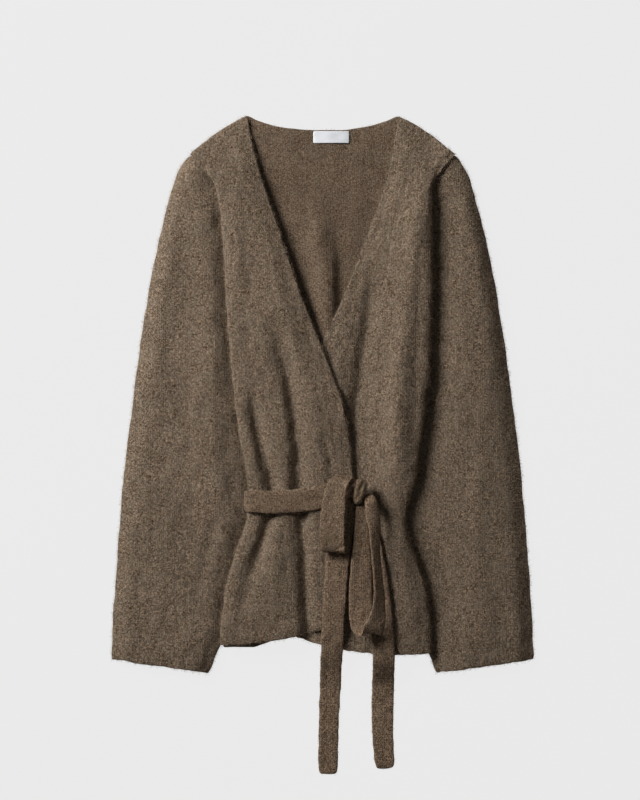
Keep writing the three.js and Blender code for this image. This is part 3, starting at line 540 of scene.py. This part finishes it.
def raise_fibres(piece, others, count, length, material, seed):
    """Scatters bent, two-ended slivers over the open faces of a piece, each one fibre."""
    chance = np.random.default_rng(seed)
    corners, normals, areas = open_faces(piece, others)
    picked = chance.choice(len(areas), count, p=areas / areas.sum())
    a, b = chance.random((2, count, 1))
    a, b = np.where(a + b > 1, 1 - a, a), np.where(a + b > 1, 1 - b, b)
    tri = corners[picked]
    roots = tri[:, 0] + a * (tri[:, 1] - tri[:, 0]) + b * (tri[:, 2] - tri[:, 0])
    normal = normals[picked]
    lying = np.cross(normal, chance.normal(size=(count, 3)))
    lying /= np.linalg.norm(lying, axis=1, keepdims=True)
    lift = chance.uniform(*FIBRE_LIFT, (count, 1))
    long = length * chance.uniform(*FIBRE_SPREAD, (count, 1))
    first = lying * np.cos(lift) + normal * np.sin(lift)
    bent = lift - FIBRE_DROOP
    second = lying * np.cos(bent) + normal * np.sin(bent) + FIBRE_WANDER * chance.normal(size=(count, 3))
    second /= np.linalg.norm(second, axis=1, keepdims=True)
    middle = roots + first * long / 2
    tip = middle + second * long / 2
    aside = np.cross(normal, first)
    half_width = chance.uniform(*FIBRE_HALF_WIDTH, (count, 1)) * MM
    aside *= half_width / np.linalg.norm(aside, axis=1, keepdims=True)
    roots = roots - normal * FIBRE_ROOT
    slivers = np.stack([roots, middle + aside, middle - aside, tip], axis=1).reshape(-1, 3)
    slivers[:, 2] = np.maximum(slivers[:, 2], ABOVE_FLOOR)
    first_corner = np.arange(count)[:, None] * 4
    faces = np.concatenate([first_corner + (0, 1, 2), first_corner + (1, 3, 2)], axis=1).reshape(-1, 3)
    mesh = bpy.data.meshes.new(piece.name.replace("knit", "fibres"))
    mesh.from_pydata(slivers.tolist(), [], faces.tolist())
    mesh.materials.append(material)
    fibres = bpy.data.objects.new(mesh.name, mesh)
    bpy.context.scene.collection.objects.link(fibres)
    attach(fibres, "root")
    return fibres


def all_layers(pieces):
    corners = []
    faces = []
    for piece in pieces:
        start = len(corners)
        corners.extend(v.co for v in piece.data.vertices)
        faces.extend([start + i for i in p.vertices] for p in piece.data.polygons)
    return BVHTree.FromPolygons(corners, faces)


BODY_FIBRE = wool_fibre("raised_wool_fibre", "#3e3024", "#bda88e")
TIE_FIBRE = wool_fibre("tie_wool_fibre", "#44352a", "#ab957a")
LAYERS = all_layers([BACK, *SLEEVES.values(), *FRONTS.values(), *TIES.values()])
raise_fibres(BACK, LAYERS, 12000, 4.5 * MM, TIE_FIBRE, 71)
for seed, sleeve in enumerate(SLEEVES.values(), 72):
    raise_fibres(sleeve, LAYERS, 60000, 5.5 * MM, BODY_FIBRE, seed)
for seed, front in enumerate(FRONTS.values(), 74):
    raise_fibres(front, LAYERS, 55000, 5.5 * MM, BODY_FIBRE, seed)
for seed, strip in enumerate(TIES.values(), 76):
    raise_fibres(strip, LAYERS, 3500, 3.5 * MM, TIE_FIBRE, seed)


# Neck label: a bare strip of white woven satin, folded at its ends and stitched inside the back neck.

WARP_THREAD = 0.5 * MM
LABEL_GRID = (22, 8)
LABEL_BULGE = 1.2 * MM


def woven_satin():
    """White polyester satin: fine warp threads that float over the weft, so it shines a little more one way."""
    material = bpy.data.materials.new("white_woven_satin")
    material.use_nodes = True
    tree = material.node_tree
    tree.nodes.clear()
    place = add(tree, "ShaderNodeTexCoord").outputs["Object"]
    warp = add(
        tree,
        "ShaderNodeTexWave",
        {"Vector": place, "Scale": ONE_BAND / WARP_THREAD},
        bands_direction="X",
    )
    tone = colour_steps(tree, warp.outputs["Fac"], (0.0, "#e6e9f0"), (1.0, "#fafbfd"))
    bump = add(tree, "ShaderNodeBump", {"Height": warp.outputs["Fac"], "Strength": 0.3, "Distance": 0.1 * MM})
    satin = add(
        tree,
        "ShaderNodeBsdfPrincipled",
        {"Base Color": tone, "Roughness": 0.45, "Anisotropic": 0.5, "Normal": bump.outputs["Normal"]},
    )
    add(tree, "ShaderNodeOutputMaterial", {"Surface": satin.outputs["BSDF"]})
    return material


def label_strip():
    cuts = []
    for low, high, count in zip(*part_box("neck_label"), LABEL_GRID):
        cuts.append([low + (high - low) * i / count for i in range(1, count)])
    return smoothed(gridded("neck_label", cuts), "neck_label_satin", 1)


LABEL = label_strip()
points = points_of(LABEL)
low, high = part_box("neck_label")
across = (points[:, 0] - low[0]) / (high[0] - low[0])
points[:, 2] += LABEL_BULGE * np.sin(np.pi * across) ** 0.7 + 0.15 * MM * unevenness(points, 12 * MM, 91)
set_points(LABEL, points)
dress(LABEL, "neck_label", woven_satin())


# Floor, light and camera: a pale backlit table under soft light from the upper left, and a long lens
# straight above, so that the garment fills the frame as it does in the photograph.

PIXEL = 1.2 * MM
FRAME_TALL = 800
FRAME_MIDDLE = (-3.0 * MM, 54.5 * MM)
CAMERA_HEIGHT = 3.2


def floor_board():
    mesh = bpy.data.meshes.new("floor")
    half = 4.0
    corners = [(-half, -half, 0), (half, -half, 0), (half, half, 0), (-half, half, 0)]
    mesh.from_pydata(corners, [], [(0, 1, 2, 3)])
    board = bpy.data.objects.new("floor", mesh)
    board.location.z = -0.3 * MM
    bpy.context.scene.collection.objects.link(board)
    material = bpy.data.materials.new("backlit_white_acrylic")
    material.use_nodes = True
    tree = material.node_tree
    tree.nodes.clear()
    acrylic = add(
        tree,
        "ShaderNodeBsdfPrincipled",
        {
            "Base Color": linear("#2c2c2c"),
            "Roughness": 0.9,
            "Specular IOR Level": 0.0,
            "Emission Color": linear("#ebebeb"),
            "Emission Strength": 0.968,
        },
    )
    add(tree, "ShaderNodeOutputMaterial", {"Surface": acrylic.outputs["BSDF"]})
    mesh.materials.append(material)


def softbox(name, place, aim, size, watts):
    light = bpy.data.lights.new(name, "AREA")
    light.shape = "RECTANGLE"
    light.size, light.size_y = size
    light.energy = watts
    lamp = bpy.data.objects.new(name, light)
    lamp.location = place
    lamp.rotation_euler = (Vector(aim) - Vector(place)).to_track_quat("-Z", "Y").to_euler()
    bpy.context.scene.collection.objects.link(lamp)


floor_board()
softbox("key_softbox", (-1.82, 1.3, 1.4), (0, 0.05, 0), (0.98, 0.98), 85.5)
softbox("top_softbox", (0.1, 0.4, 2.6), (0, 0.05, 0), (1.6, 1.6), 2.5)

world = bpy.data.worlds.new("studio_air")
world.use_nodes = True
world.node_tree.nodes["Background"].inputs["Color"].default_value = linear("#ffffff")
world.node_tree.nodes["Background"].inputs["Strength"].default_value = 0.03
bpy.context.scene.world = world
bpy.context.scene.view_settings.view_transform = "Standard"

camera = bpy.data.cameras.new("camera_above")
camera.sensor_fit = "VERTICAL"
camera.sensor_height = 36
camera.lens = camera.sensor_height * CAMERA_HEIGHT / (FRAME_TALL * PIXEL)
viewer = bpy.data.objects.new("camera_above", camera)
viewer.location = (*FRAME_MIDDLE, CAMERA_HEIGHT + 0.01)
bpy.context.scene.collection.objects.link(viewer)
bpy.context.scene.camera = viewer
